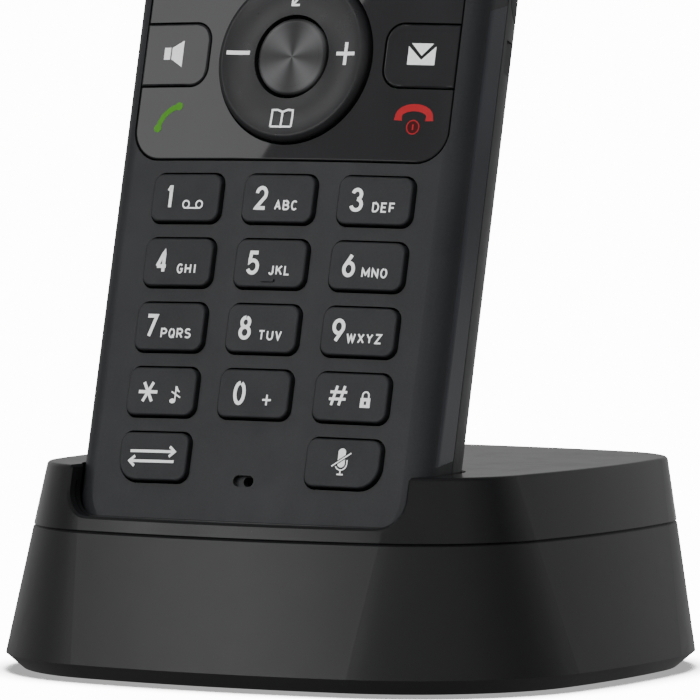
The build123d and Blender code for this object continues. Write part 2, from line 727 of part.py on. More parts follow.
def battery_door():
    door = (whole & prism(door_outline(), BEHIND, -10.0)) - handset_body(back=DOOR_THICK)
    for row in range(5):
        along = BATTERY_CENTRE + DOOR[1] / 2 - 3.5 - 1.5 * row
        door -= Pos(0, along, -THICKNESS) * Box(14.0, 0.7, 0.6)
    return door


def battery_pack():
    high = BAY_FLOOR - 0.1
    pack = slab(BATTERY[0], BATTERY[1], high - BATTERY[2], high, y=BATTERY_CENTRE)
    return fillet(pack.edges().filter_by(Axis.Y), 1.2)


def handset_screw(x, y):
    head = disc(2.3, SCREW_SEAT - 1.4, SCREW_SEAT, x, y)
    shank = disc(1.0, SCREW_SEAT, -5.0, x, y)
    return head + shank - cross_slot(2.6, 0.5, SCREW_SEAT - 2, SCREW_SEAT - 0.8, x, y)


def key_mat():
    """Silicone mat with one nub under each key."""
    mat = slab(*MAT, *MAT_SPAN, y=MAT_CENTRE)
    for _, x, y, _ in keypad():
        mat += disc(NUB_RADIUS, MAT_SPAN[1] - 0.05, NUB_TOP, x, y)
    return mat - disc(MIC_CLEAR, SPLIT, 0, y=MIC_AT)


def dome_sheet():
    """Thin sheet of metal snap domes between mat and board."""
    sheet = slab(MAT[0] - 1, MAT[1], *DOME_SPAN, y=MAT_CENTRE)
    return sheet - disc(MIC_CLEAR, SPLIT, 0, y=MIC_AT)


def main_board():
    low = BOARD_SPAN[0]
    board = slab(*BOARD, *BOARD_SPAN, y=BOARD_CENTRE)
    for x, y in POST_SPOTS:
        board -= disc(BOARD_HOLE, BEHIND, 0, x, y)
    board += slab(12.0, 12.0, low - 0.75, low, x=-8.0, y=-30.0)
    board += slab(8.0, 8.0, low - 0.7, low, x=10.0, y=-34.0)
    return board


def earpiece():
    can = Pos(0, EARPIECE_CENTRE) * RectangleRounded(*EARPIECE_CAN, 3.0)
    return prism(can, *CAN_SPAN)


def earpiece_mesh():
    return prism(Pos(0, EARPIECE_AT) * SlotOverall(15.0, 3.0), *MESH_SPAN)


def ringer():
    outer, inner = RINGER_RADII
    return disc(outer, *RINGER_SPAN, y=RINGER_AT) - disc(inner, BEHIND, RINGER_FLOOR, y=RINGER_AT)


def signal_lamp():
    return prism(Pos(LAMP_AT, EARPIECE_AT) * SlotOverall(3.9, 1.3), *LAMP_SPAN)


def handset_contact(side):
    low = BOTTOM_END + CONTACT_RECESS
    pad = contact_spot(side, low + 0.5) * Box(4.8, 1.0, 3.0)
    tail = contact_spot(side, low + 2.4) * Box(2.0, 3.0, 0.6)
    return pad + tail


save_on_handset("front_shell", front_shell())
save_on_handset("back_cover", back_cover())
save_on_handset("side_trim_left", trim_block(-1, TRIM_DEPTH))
save_on_handset("side_trim_right", trim_block(1, TRIM_DEPTH))
save_on_handset("battery_door", battery_door())
save_on_handset("battery_pack", battery_pack())
save_on_handset("display_lens", lens())
save_on_handset("display_module", slab(*WINDOW, *DISPLAY_SPAN, y=WINDOW_CENTRE))
save_on_handset("main_board", main_board())
save_on_handset("key_mat", key_mat())
save_on_handset("dome_sheet", dome_sheet())
save_on_handset("earpiece_speaker", earpiece())
save_on_handset("earpiece_mesh", earpiece_mesh())
save_on_handset("ringer_speaker", ringer())
save_on_handset("microphone", disc(MIC_RADIUS, *CAN_SPAN, y=MIC_AT))
save_on_handset("handset_contacts", group(handset_contact(side) for side in (-1, 1)))
save_on_handset("headset_jack", headset_jack())
save_on_handset("jack_cover", jack_cover())
save_on_handset("antenna", slab(20.0, 5.0, -11.0, -8.6, y=69.0))
save_on_handset("vibration_motor", Pos(-16.0, 30.0, -11.0) * Rot(90, 0, 0) * Cylinder(2.2, 9.0))
save_on_handset("signal_lamp", signal_lamp())
save_on_handset("handset_screws", group(handset_screw(x, y) for x, y in POST_SPOTS))
save_on_handset("function_plate", function_plate())
save_on_handset("key_speaker", panel_key(side_key_outline(-1)))
save_on_handset("key_message", panel_key(side_key_outline(1)))
save_on_handset("soft_key_left", panel_key(soft_key_outline(-1)))
save_on_handset("soft_key_right", panel_key(soft_key_outline(1)))
save_on_handset("nav_ring", nav_ring())
save_on_handset("nav_button", nav_button())
save_on_handset("nav_pad", nav_pad())
for name, x, y, big in keypad():
    save_on_handset(name, number_key(name, x, y, big))
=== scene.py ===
import json
import math

import bmesh
import bpy
from mathutils import Matrix, Vector
from mathutils.bvhtree import BVHTree


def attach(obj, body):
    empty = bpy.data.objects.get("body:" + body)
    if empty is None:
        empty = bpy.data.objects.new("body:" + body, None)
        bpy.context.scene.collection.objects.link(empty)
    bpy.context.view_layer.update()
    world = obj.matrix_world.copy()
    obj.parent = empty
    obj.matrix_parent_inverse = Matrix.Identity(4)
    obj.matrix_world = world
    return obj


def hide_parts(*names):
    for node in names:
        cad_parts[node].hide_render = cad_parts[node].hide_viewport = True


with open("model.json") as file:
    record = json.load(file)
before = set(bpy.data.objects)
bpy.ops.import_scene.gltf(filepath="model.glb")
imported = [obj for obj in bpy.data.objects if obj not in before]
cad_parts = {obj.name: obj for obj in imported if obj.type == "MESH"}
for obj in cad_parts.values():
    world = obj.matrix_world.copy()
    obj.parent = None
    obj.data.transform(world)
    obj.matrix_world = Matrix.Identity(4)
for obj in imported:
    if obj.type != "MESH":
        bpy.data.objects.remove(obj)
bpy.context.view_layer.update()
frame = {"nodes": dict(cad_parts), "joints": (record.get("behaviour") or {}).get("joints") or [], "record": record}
NODES = frame["nodes"]
JOINTS = {joint["name"]: joint for joint in frame["joints"]}
SLOTS = {part["node"]: part["material_slot"] for part in frame["record"]["subparts"]}
MM = 0.001

# ---------------------------------------------------------------- camera

CAMERA_PLACE = (0.44917, -0.76358, 0.08336)
CAMERA_TURN = 30.475                # degrees to the object's right of straight ahead
CAMERA_TILT = 2.811                 # degrees looking down
CAMERA_LENS = 364.138

# ---------------------------------------------------------------- the handset's own frame

PIVOT_DEPTH = 2.9                   # the ring's pivot lies this far under the middle of the face
ALONG = Vector(JOINTS["handset_lift"]["axis"]).normalized()
OUT = -Vector(JOINTS["key_1_press"]["axis"]).normalized()
ACROSS = ALONG.cross(OUT)
FACE_MIDDLE = Vector(JOINTS["nav_ring_up_down"]["pos_m"]) + OUT * PIVOT_DEPTH * MM
HANDSET = Matrix((ACROSS, ALONG, OUT)).transposed().to_4x4()
HANDSET.translation = FACE_MIDDLE
TO_HANDSET = HANDSET.inverted()


def local_box(node):
    """Lowest and highest corner of a CAD node in the handset's frame, in millimetres."""
    places = [TO_HANDSET @ v.co / MM for v in NODES[node].data.vertices]
    low = Vector(min(p[i] for p in places) for i in range(3))
    high = Vector(max(p[i] for p in places) for i in range(3))
    return low, high


def local_middle(node):
    low, high = local_box(node)
    return (low + high) / 2


# ---------------------------------------------------------------- shader helpers

def new_tree(name):
    material = bpy.data.materials.new(name)
    material.use_nodes = True
    tree = material.node_tree
    tree.nodes.clear()
    out = tree.nodes.new("ShaderNodeOutputMaterial")
    shader = tree.nodes.new("ShaderNodeBsdfPrincipled")
    tree.links.new(shader.outputs["BSDF"], out.inputs["Surface"])
    return material, tree, shader


def add(tree, kind, **values):
    """A node with some of its sockets set or linked. Spaces in socket names are written as _."""
    node = tree.nodes.new("ShaderNode" + kind)
    for key, value in values.items():
        socket = node.inputs[key.replace("_", " ")]
        if isinstance(value, bpy.types.NodeSocket):
            tree.links.new(value, socket)
        else:
            socket.default_value = value
    return node


def surface_place(tree):
    """Where a point lies on the object, in metres."""
    return tree.nodes.new("ShaderNodeTexCoord").outputs["Object"]


def handset_place(tree):
    """Where a point lies in the handset's frame, in metres."""
    turn = add(tree, "Mapping", Vector=surface_place(tree))
    turn.inputs["Rotation"].default_value = TO_HANDSET.to_euler()
    turn.inputs["Location"].default_value = TO_HANDSET.translation
    return turn.outputs["Vector"]


def noise(tree, place, size, detail=2.0, roughness=0.5, stretch=(1, 1, 1)):
    """Noise whose blotches are about size millimetres across."""
    squeeze = add(tree, "Mapping", Vector=place, Scale=stretch)
    node = add(tree, "TexNoise", Vector=squeeze.outputs["Vector"], Scale=1 / (size * MM),
               Detail=detail, Roughness=roughness)
    return node.outputs["Fac"]


def between(tree, fac, low, high, start=0.3, end=0.7):
    """A number that goes from low to high as fac goes from start to end."""
    node = add(tree, "MapRange", Value=fac, From_Min=start, From_Max=end, To_Min=low, To_Max=high)
    return node.outputs["Result"]


def tones(tree, fac, *stops):
    """A colour ramp through (place, colour) stops."""
    node = add(tree, "ValToRGB", Fac=fac)
    ramp = node.color_ramp
    while len(ramp.elements) < len(stops):
        ramp.elements.new(0.5)
    for element, (place, colour) in zip(ramp.elements, stops):
        element.position = place
        element.color = (*colour, 1)
    return node.outputs["Color"]


def shade(colour, factor):
    return tuple(channel * factor for channel in colour)


def mix_colour(tree, fac, first, second):
    node = tree.nodes.new("ShaderNodeMix")
    node.data_type = "RGBA"
    for index, value in ((0, fac), (6, first), (7, second)):
        if isinstance(value, bpy.types.NodeSocket):
            tree.links.new(value, node.inputs[index])
        else:
            node.inputs[index].default_value = (*value, 1) if index else value
    return node.outputs[2]


def relief(tree, height, depth):
    """Bumps depth millimetres deep."""
    return add(tree, "Bump", Height=height, Distance=depth * MM, Strength=1.0).outputs["Normal"]


def moulded(name, colour, rough, grain=0.25, depth=0.0015, mottle=0.1, uneven=0.04, **sockets):
    """Moulded plastic or rubber: a fine tool texture, faint tone changes and uneven gloss."""
    material, tree, shader = new_tree(name)
    place = surface_place(tree)
    broad = noise(tree, place, 14.0, detail=3)
    fine = noise(tree, place, grain, detail=2)
    cloud = noise(tree, place, 3.0, detail=4, roughness=0.65)
    base = tones(tree, broad, (0.3, shade(colour, 1 - mottle)), (0.7, shade(colour, 1 + mottle)))
    flecks = tones(tree, fine, (0.35, (0.82, 0.82, 0.82)), (0.65, (1, 1, 1)))
    tinted = mix_colour(tree, 1.0, base, flecks)
    tinted.node.blend_type = "MULTIPLY"
    tree.links.new(tinted, shader.inputs["Base Color"])
    tree.links.new(between(tree, cloud, rough - uneven, rough + uneven), shader.inputs["Roughness"])
    tree.links.new(relief(tree, fine, depth), shader.inputs["Normal"])
    for key, value in sockets.items():
        shader.inputs[key.replace("_", " ")].default_value = value
    return material


def polished(name, colour, rough, wave=0.0006, haze=0.03, **sockets):
    """High-gloss plastic: faint moulding waves, a little handling haze and dust."""
    material, tree, shader = new_tree(name)
    place = surface_place(tree)
    waves = noise(tree, place, 9.0, detail=1)
    smears = noise(tree, place, 6.0, detail=5, roughness=0.7, stretch=(1, 1, 0.35))
    dust = noise(tree, place, 0.16, detail=1)
    speck = between(tree, dust, 0.0, 0.05, start=0.74, end=0.8)
    base = tones(tree, waves, (0.3, shade(colour, 0.85)), (0.7, shade(colour, 1.15)))
    tree.links.new(mix_colour(tree, speck, base, (0.3, 0.3, 0.31)), shader.inputs["Base Color"])
    tree.links.new(between(tree, smears, rough, rough + haze, start=0.45, end=0.75),
                   shader.inputs["Roughness"])
    tree.links.new(relief(tree, waves, wave), shader.inputs["Normal"])
    for key, value in sockets.items():
        shader.inputs[key.replace("_", " ")].default_value = value
    return material


def metal(name, colour, rough, grain):
    """Metal with a fine machined grain and slight tarnish."""
    material, tree, shader = new_tree(name)
    place = surface_place(tree)
    lines = noise(tree, place, grain, detail=3)
    stain = noise(tree, place, 2.5, detail=4, roughness=0.7)
    tree.links.new(tones(tree, stain, (0.3, shade(colour, 0.85)), (0.7, colour)),
                   shader.inputs["Base Color"])
    tree.links.new(between(tree, lines, rough * 0.8, rough * 1.3), shader.inputs["Roughness"])
    tree.links.new(relief(tree, lines, 0.001), shader.inputs["Normal"])
    shader.inputs["Metallic"].default_value = 1.0
    return material


def circuit_board(name):
    """Green solder mask over copper tracks, with bright pads."""
    material, tree, shader = new_tree(name)
    place = surface_place(tree)
    mask = (0.012, 0.10, 0.04)
    track = add(tree, "TexBrick", Vector=place, Scale=1 / (3.2 * MM), Mortar_Size=0.06,
                Color1=(*mask, 1), Color2=(*shade(mask, 0.8), 1), Mortar=(0.04, 0.2, 0.08, 1))
    pads = add(tree, "TexVoronoi", Vector=place, Scale=1 / (2.4 * MM))
    pads.feature = "F1"
    spot = between(tree, pads.outputs["Distance"], 1.0, 0.0, start=0.12, end=0.16)
    tree.links.new(mix_colour(tree, spot, track.outputs["Color"], (0.75, 0.62, 0.3)),
                   shader.inputs["Base Color"])
    tree.links.new(between(tree, spot, 0.4, 0.25, start=0, end=1), shader.inputs["Roughness"])
    tree.links.new(relief(tree, track.outputs["Fac"], 0.02), shader.inputs["Normal"])
    return material


def battery_wrap(name):
    """Shrink sleeve with a darker band at each end and fine creases."""
    material, tree, shader = new_tree(name)
    low, high = local_box("battery_pack")
    along = add(tree, "SeparateXYZ", Vector=handset_place(tree)).outputs["Y"]
    share = between(tree, along, 0.0, 1.0, start=low.y * MM, end=high.y * MM)
    blue = (0.03, 0.09, 0.24)
    dark = shade(blue, 0.35)
    sleeve = tones(tree, share, (0.0, dark), (0.16, dark), (0.17, blue), (0.83, blue), (0.84, dark))
    tree.links.new(sleeve, shader.inputs["Base Color"])
    crease = noise(tree, surface_place(tree), 4.0, detail=5, stretch=(1, 1, 0.3))
    tree.links.new(between(tree, crease, 0.25, 0.45), shader.inputs["Roughness"])
    tree.links.new(relief(tree, crease, 0.05), shader.inputs["Normal"])
    return material


def display_glass(name):
    """Tinted window painted black on its inside round the display."""
    material, tree, shader = new_tree(name)
    low, high = local_box("display_module")
    split = add(tree, "SeparateXYZ", Vector=handset_place(tree))
    inside = None
    for axis, index in (("X", 0), ("Y", 1)):
        middle = (low[index] + high[index]) / 2 * MM
        half = (high[index] - low[index]) / 2 * MM - 1.0 * MM
        away = add(tree, "Math", Value=split.outputs[axis])
        away.operation = "SUBTRACT"
        away.inputs[1].default_value = middle
        size = add(tree, "Math", Value=away.outputs[0])
        size.operation = "ABSOLUTE"
        here = between(tree, size.outputs[0], 1.0, 0.0, start=half, end=half + 0.05 * MM)
        if inside is None:
            inside = here
        else:
            both = add(tree, "Math", Value=inside)
            both.operation = "MULTIPLY"
            tree.links.new(here, both.inputs[1])
            inside = both.outputs[0]
    smears = noise(tree, surface_place(tree), 7.0, detail=5, roughness=0.7)
    tree.links.new(mix_colour(tree, inside, (0.006, 0.006, 0.007), (0.35, 0.37, 0.38)),
                   shader.inputs["Base Color"])
    tree.links.new(inside, shader.inputs["Transmission Weight"])
    tree.links.new(between(tree, smears, 0.02, 0.06), shader.inputs["Roughness"])
    shader.inputs["IOR"].default_value = 1.49
    return material


def pixel_screen(name):
    """Switched-off colour display: a fine grid of cells on a blue-black ground."""
    material, tree, shader = new_tree(name)
    cells = add(tree, "TexBrick", Vector=handset_place(tree), Scale=1 / (0.7 * MM), Mortar_Size=0.05,
                Color1=(0.030, 0.036, 0.048, 1), Color2=(0.026, 0.031, 0.042, 1),
                Mortar=(0.008, 0.008, 0.010, 1))
    cells.offset = 0.0
    bloom = noise(tree, handset_place(tree), 12.0, detail=2)
    tint = mix_colour(tree, between(tree, bloom, 0.0, 0.4), cells.outputs["Color"], (0.05, 0.05, 0.07))
    tree.links.new(tint, shader.inputs["Base Color"])
    tree.links.new(between(tree, bloom, 0.12, 0.2), shader.inputs["Roughness"])
    tree.links.new(relief(tree, cells.outputs["Fac"], 0.004), shader.inputs["Normal"])
    return material


def printed(name, colour):
    """Ink: slightly uneven cover, a matt surface and a faint stipple."""
    return moulded(name, colour, 0.5, grain=0.09, depth=0.0008, mottle=0.03, uneven=0.08,
                   Specular_IOR_Level=0.15)


def spun_metal(name):
    """Turned face: rings of fine grooves, with four streaks of shine painted into its colour as a painted
    highlight.
    """
    material, tree, shader = new_tree(name)
    place = surface_place(tree)
    split = add(tree, "SeparateXYZ", Vector=place)
    flat = add(tree, "CombineXYZ", X=split.outputs["X"], Y=split.outputs["Y"])
    reach = add(tree, "VectorMath", Vector=flat.outputs["Vector"])
    reach.operation = "LENGTH"
    radius = add(tree, "CombineXYZ", X=reach.outputs["Value"])
    groove = noise(tree, radius.outputs["Vector"], 0.07, detail=3)
    # Painted highlight: the angle round the middle lightens the base colour in four streaks, standing in for the
    # shine that gathers along the grooves.
    angle = add(tree, "Math", Value=split.outputs["Y"])
    angle.operation = "ARCTAN2"
    tree.links.new(split.outputs["X"], angle.inputs[1])
    fourfold = add(tree, "Math", Value=angle.outputs[0])
    fourfold.operation = "MULTIPLY"
    fourfold.inputs[1].default_value = 4
    wave = add(tree, "Math", Value=fourfold.outputs[0])
    wave.operation = "COSINE"
    painted_shine_rays = tones(tree, between(tree, wave.outputs[0], 1.0, 0.0, start=-1, end=1),
                 (0.0, (0.022, 0.022, 0.023)), (1.0, (0.085, 0.085, 0.087)))
    lines = tones(tree, groove, (0.3, (0.75, 0.75, 0.75)), (0.7, (1, 1, 1)))
    grooves_and_painted_shine = mix_colour(tree, 1.0, painted_shine_rays, lines)
    grooves_and_painted_shine.node.blend_type = "MULTIPLY"
    tree.links.new(grooves_and_painted_shine, shader.inputs["Base Color"])
    tree.links.new(between(tree, groove, 0.26, 0.38), shader.inputs["Roughness"])
    tree.links.new(relief(tree, groove, 0.0015), shader.inputs["Normal"])
    turn = add(tree, "Tangent")
    turn.direction_type = "RADIAL"
    turn.axis = "Z"
    tree.links.new(turn.outputs["Tangent"], shader.inputs["Tangent"])
    shader.inputs["Metallic"].default_value = 0.35
    shader.inputs["Anisotropic"].default_value = 0.8
    return material


# ---------------------------------------------------------------- materials

CHARCOAL = (0.0168, 0.0174, 0.0188)
BLACK = (0.005, 0.005, 0.0055)
INK_WHITE = (0.86, 0.86, 0.86)
INK_GREEN = (0.058, 0.21, 0.016)
INK_RED = (0.34, 0.011, 0.016)
INK_DARK_RED = (0.045, 0.002, 0.003)

MATERIALS = {
    "cover_gloss": polished("cover_gloss", BLACK, 0.20, haze=0.04),
    "housing_satin": moulded("housing_satin", BLACK, 0.36, depth=0.0006, uneven=0.012,
                             Specular_IOR_Level=0.6),
    "base_black": moulded("base_black", (0.02, 0.02, 0.021), 0.55, depth=0.004),
    "foot_rubber": moulded("foot_rubber", (0.018, 0.018, 0.018), 0.85, grain=0.4, depth=0.01),
    "screw_steel": metal("screw_steel", (0.55, 0.55, 0.56), 0.3, grain=0.15),
    "ballast_iron": moulded("ballast_iron", (0.12, 0.12, 0.125), 0.6, grain=0.8, depth=0.08,
                            Metallic=0.8),
    "board_green": circuit_board("board_green"),
    "contact_gold": metal("contact_gold", (0.83, 0.62, 0.25), 0.22, grain=0.1),
    "shell_charcoal": moulded("shell_charcoal", CHARCOAL, 0.42, Specular_IOR_Level=0.32),
    "back_charcoal": moulded("back_charcoal", CHARCOAL, 0.40),
    "trim_gloss": polished("trim_gloss", (0.010, 0.012, 0.018), 0.14),
    "battery_wrap": battery_wrap("battery_wrap"),
    "lens_glass": display_glass("lens_glass"),
    "display_black": pixel_screen("display_black"),
    "key_silicone": moulded("key_silicone", (0.12, 0.12, 0.13), 0.7, depth=0.004),
    "speaker_can": metal("speaker_can", (0.3, 0.3, 0.31), 0.4, grain=0.3),
    "cover_rubber": moulded("cover_rubber", (0.03, 0.03, 0.032), 0.6, grain=0.3, depth=0.004),
    "lamp_lens": polished("lamp_lens", (0.25, 0.03, 0.03), 0.1, Transmission_Weight=0.3),
    "panel_gloss": polished("panel_gloss", (0.011, 0.011, 0.012), 0.02, wave=0.0002, haze=0.02),
    "ring_satin": moulded("ring_satin", (0.011, 0.011, 0.012), 0.30, grain=0.2, depth=0.0006,
                          Specular_IOR_Level=0.4),
    "button_metal": spun_metal("button_metal"),
    "key_charcoal": moulded("key_charcoal", CHARCOAL, 0.45, Specular_IOR_Level=0.32),
    "ink_white": printed("ink_white", INK_WHITE),
    "ink_green": printed("ink_green", INK_GREEN),
    "ink_red": printed("ink_red", INK_RED),
    "ink_dark_red": printed("ink_dark_red", INK_DARK_RED),
}


def dress_nodes():
    """Give every CAD node the material of its slot."""
    for name, node in NODES.items():
        node.data.materials.clear()
        node.data.materials.append(MATERIALS[SLOTS[name]])


# ---------------------------------------------------------------- printing on the handset

INK_LIFT = 0.02                     # mm above the surface
INK_STEP = 0.003                    # each stroke lies this much above the one before
INK_THICK = 0.03
SAMPLE = 0.3                        # mm between points along a stroke


class Print:
    """Flat shapes in the handset's frame, dropped onto the face of one CAD node."""

    def __init__(self, name, node, body, material):
        self.name, self.body, self.material = name, body, material
        self.mesh = bmesh.new()
        self.layer = 0
        source = NODES[node].data
        places = [TO_HANDSET @ v.co / MM for v in source.vertices]
        self.under = BVHTree.FromPolygons(places, [tuple(p.vertices) for p in source.polygons])

    def drop(self, x, y):
        hit = self.under.ray_cast(Vector((x, y, 10.0)), Vector((0, 0, -1)))[0]
        height = hit.z if hit else 0.0
        lift = INK_LIFT + INK_STEP * self.layer
        return self.mesh.verts.new(HANDSET @ (Vector((x, y, height + lift)) * MM))

    def face(self, outline):
        """A filled outline."""
        self.mesh.faces.new([self.drop(x, y) for x, y in outline])
        self.layer += 1

    def stroke(self, points, width, closed=False):
        """A line of even width through the points, or of the widths given for each point."""
        widths = width if isinstance(width, list) else [width] * len(points)
        path = resample(points, widths, closed)
        rows = []
        for i, (x, y, across) in enumerate(path):
            before = path[i - 1] if closed or i else None
            after = path[(i + 1) % len(path)] if closed or i + 1 < len(path) else None
            side = mitre(before, (x, y), after)
            half = across / 2
            rows.append((self.drop(x + side.x * half, y + side.y * half),
                         self.drop(x - side.x * half, y - side.y * half)))
        pairs = list(zip(rows, rows[1:] + rows[:1])) if closed else list(zip(rows, rows[1:]))
        for (a, b), (c, d) in pairs:
            self.mesh.faces.new((a, b, d, c))
        self.layer += 1

    def finish(self):
        bmesh.ops.recalc_face_normals(self.mesh, faces=self.mesh.faces)
        for polygon in self.mesh.faces:
            if polygon.normal.dot(OUT) < 0:
                polygon.normal_flip()
        data = bpy.data.meshes.new(self.name)
        self.mesh.to_mesh(data)
        self.mesh.free()
        data.materials.append(self.material)
        piece = bpy.data.objects.new(self.name, data)
        bpy.context.scene.collection.objects.link(piece)
        thick = piece.modifiers.new("ink", "SOLIDIFY")
        thick.thickness = INK_THICK * MM
        thick.offset = -1
        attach(piece, self.body)
        return piece


def resample(points, widths, closed):
    """The path with extra points on its long runs: (x, y, width) triples."""
    count = len(points)
    path = []
    for i in range(count if closed else count - 1):
        (x0, y0), (x1, y1) = points[i], points[(i + 1) % count]
        w0, w1 = widths[i], widths[(i + 1) % count]
        steps = max(1, math.ceil(math.hypot(x1 - x0, y1 - y0) / SAMPLE))
        for k in range(steps):
            t = k / steps
            path.append((x0 + (x1 - x0) * t, y0 + (y1 - y0) * t, w0 + (w1 - w0) * t))
    if not closed:
        path.append((*points[-1], widths[-1]))
    return path


def mitre(before, here, after):
    """Sideways direction at a point of a path, lengthened at a bend so that the width holds."""
    steps = []
    if before:
        steps.append(Vector((here[0] - before[0], here[1] - before[1])).normalized())
    if after:
        steps.append(Vector((after[0] - here[0], after[1] - here[1])).normalized())
    forward = sum(steps, Vector((0, 0)))
    if forward.length < 1e-6:
        forward = steps[0]
    forward.normalize()
    side = Vector((-forward.y, forward.x))
    return side / max(0.55, forward.dot(steps[0]))


def arc(x, y, rx, ry, start, end):
    """Points on an elliptic arc between two angles in degrees."""
    steps = max(3, math.ceil(abs(end - start) / 15))
    angles = [math.radians(start + (end - start) * i / steps) for i in range(steps + 1)]
    return [(x + rx * math.cos(a), y + ry * math.sin(a)) for a in angles]


OVAL = arc(0.5, 0.5, 0.5, 0.5, 90, 435)
P_BOWL = [(0, 0), (0, 1), (0.5, 1), *arc(0.5, 0.73, 0.5, 0.27, 90, -90), (0, 0.46)]
GLYPHS = {
    "0": [OVAL],
    "1": [[(1, 0), (1, 1), (0.75, 1), (0, 0.82)]],
    "2": [[*arc(0.5, 0.71, 0.5, 0.29, 175, -35), (0, 0), (1, 0)]],
    "3": [arc(0.46, 0.76, 0.44, 0.24, 165, -80), arc(0.46, 0.27, 0.54, 0.27, 85, -165)],
    "4": [[(0.72, 0), (0.72, 1), (0, 0.27)], [(0, 0.27), (1, 0.27)]],
    "5": [[(0.95, 1), (0.2, 1), (0.08, 0.52), *arc(0.46, 0.31, 0.54, 0.31, 125, -155)]],
    "6": [arc(0.5, 0.31, 0.5, 0.31, 150, 500), [(0.72, 1), (0.06, 0.45)]],
    "7": [[(0, 1), (1, 1), (0.3, 0)]],
    "8": [arc(0.5, 0.77, 0.42, 0.23, 90, 440), arc(0.5, 0.27, 0.5, 0.27, 90, 440)],
    "9": [arc(0.5, 0.69, 0.5, 0.31, -30, 320), [(0.28, 0), (0.94, 0.55)]],
    "A": [[(0, 0), (0.5, 1), (1, 0)], [(0.2, 0.33), (0.8, 0.33)]],
    "B": [[(0, 0), (0, 1), (0.5, 1), *arc(0.5, 0.76, 0.4, 0.24, 90, -90), (0, 0.52)],
          [(0.3, 0.52), (0.55, 0.52), *arc(0.55, 0.26, 0.45, 0.26, 90, -90), (0, 0)]],
    "C": [arc(0.5, 0.5, 0.5, 0.5, 45, 315)],
    "D": [[(0, 0), (0, 1), (0.4, 1), *arc(0.4, 0.5, 0.6, 0.5, 90, -90), (0, 0)]],
    "E": [[(1, 1), (0, 1), (0, 0), (1, 0)], [(0, 0.52), (0.85, 0.52)]],
    "F": [[(1, 1), (0, 1), (0, 0)], [(0, 0.5), (0.85, 0.5)]],
    "G": [[*arc(0.5, 0.5, 0.5, 0.5, 45, 320), (0.95, 0.46), (0.55, 0.46)]],
    "H": [[(0, 0), (0, 1)], [(1, 0), (1, 1)], [(0, 0.52), (1, 0.52)]],
    "I": [[(0.5, 0), (0.5, 1)]],
    "J": [[(0.9, 1), (0.9, 0.3), *arc(0.45, 0.3, 0.45, 0.3, 0, -165)]],
    "K": [[(0, 0), (0, 1)], [(1, 1), (0, 0.38)], [(0.35, 0.62), (1, 0)]],
    "L": [[(0, 1), (0, 0), (1, 0)]],
    "M": [[(0, 0), (0, 1), (0.5, 0.25), (1, 1), (1, 0)]],
    "N": [[(0, 0), (0, 1), (1, 0), (1, 1)]],
    "O": [OVAL],
    "P": [P_BOWL],
    "Q": [OVAL, [(0.6, 0.3), (1.0, -0.05)]],
    "R": [P_BOWL, [(0.5, 0.46), (1, 0)]],
    "S": [[*arc(0.5, 0.76, 0.45, 0.24, 30, 270), *arc(0.5, 0.26, 0.5, 0.26, 80, -150)]],
    "T": [[(0, 1), (1, 1)], [(0.5, 1), (0.5, 0)]],
    "U": [[(0, 1), (0, 0.35), *arc(0.5, 0.35, 0.5, 0.35, 190, 350), (1, 0.35), (1, 1)]],
    "V": [[(0, 1), (0.5, 0), (1, 1)]],
    "W": [[(0, 1), (0.25, 0), (0.5, 0.9), (0.75, 0), (1, 1)]],
    "X": [[(0, 0), (1, 1)], [(0, 1), (1, 0)]],
    "Y": [[(0, 1), (0.5, 0.48), (1, 1)], [(0.5, 0.48), (0.5, 0)]],
    "Z": [[(0, 1), (1, 1), (0, 0), (1, 0)]],
    "+": [[(0, 0.5), (1, 0.5)], [(0.5, 0), (0.5, 1)]],
    "#": [[(0.18, 0), (0.42, 1)], [(0.58, 0), (0.82, 1)], [(0.04, 0.32), (0.92, 0.32)],
          [(0.08, 0.68), (0.96, 0.68)]],
}
# Widths as a share of a usual character's
WIDE = {"1": 0.48, "I": 0.6, "M": 1.2, "W": 1.35, "L": 0.85, "J": 0.8, "F": 0.9, "E": 0.9}
LETTER_WIDTH = 0.93                 # mm, of a usual letter
LETTER_SPACE = 0.28                 # gap between letters, as a share of a letter's width


def glyph(ink, character, left, right, low, high, width):
    """One character drawn inside a box, in strokes of the given width."""
    half = width / 2
    for line in GLYPHS[character]:
        points = [(left + half + (right - left - width) * x, low + half + (high - low - width) * y)
                  for x, y in line]
        ink.stroke(points, width)


def word(ink, letters, right, low, high, width):
    """Letters in a row that ends at the right."""
    shares = [WIDE.get(letter, 1.0) for letter in letters]
    left = right - LETTER_WIDTH * (sum(shares) + LETTER_SPACE * (len(letters) - 1))
    for letter, share in zip(letters, shares):
        glyph(ink, letter, left, left + LETTER_WIDTH * share, low, high, width)
        left += LETTER_WIDTH * (share + LETTER_SPACE)


# ---------------------------------------------------------------- number pad
# Places are in millimetres from the middle of each key. A digit and its letters make one legend, which
# is centred on the key: the digit stands at its left end and the letters end at its right.

DIGIT_ROW = (-1.46, 1.54)
DIGIT_STROKE = 0.46
LETTER_ROW = (-1.46, -0.2)
LETTER_STROKE = 0.21
DIGIT_WIDTH = 1.75
LEGEND_MIDDLE = -0.07
LEGEND_WIDTH = {0: 5.5, 3: 6.2, 4: 6.9}   # by the number of letters
KEY_LETTERS = {"1": "", "2": "ABC", "3": "DEF", "4": "GHI", "5": "JKL", "6": "MNO", "7": "PQRS",
               "8": "TUV", "9": "WXYZ", "0": ""}


def key_print(name, node):
    ink = Print(name, node, node, MATERIALS["ink_white"])
    middle = local_middle(node)
    return ink, middle.x, middle.y


def voicemail_mark(ink, x, y):
    """Two loops on a line."""
    radius, low = 0.46, -1.32
    for side in (0.24, 2.20):
        ink.stroke(arc(x + side, y + low + radius, radius, radius, 0, 345), 0.2, closed=True)
    ink.stroke([(x + 0.24, y + low), (x + 2.20, y + low)], 0.2)


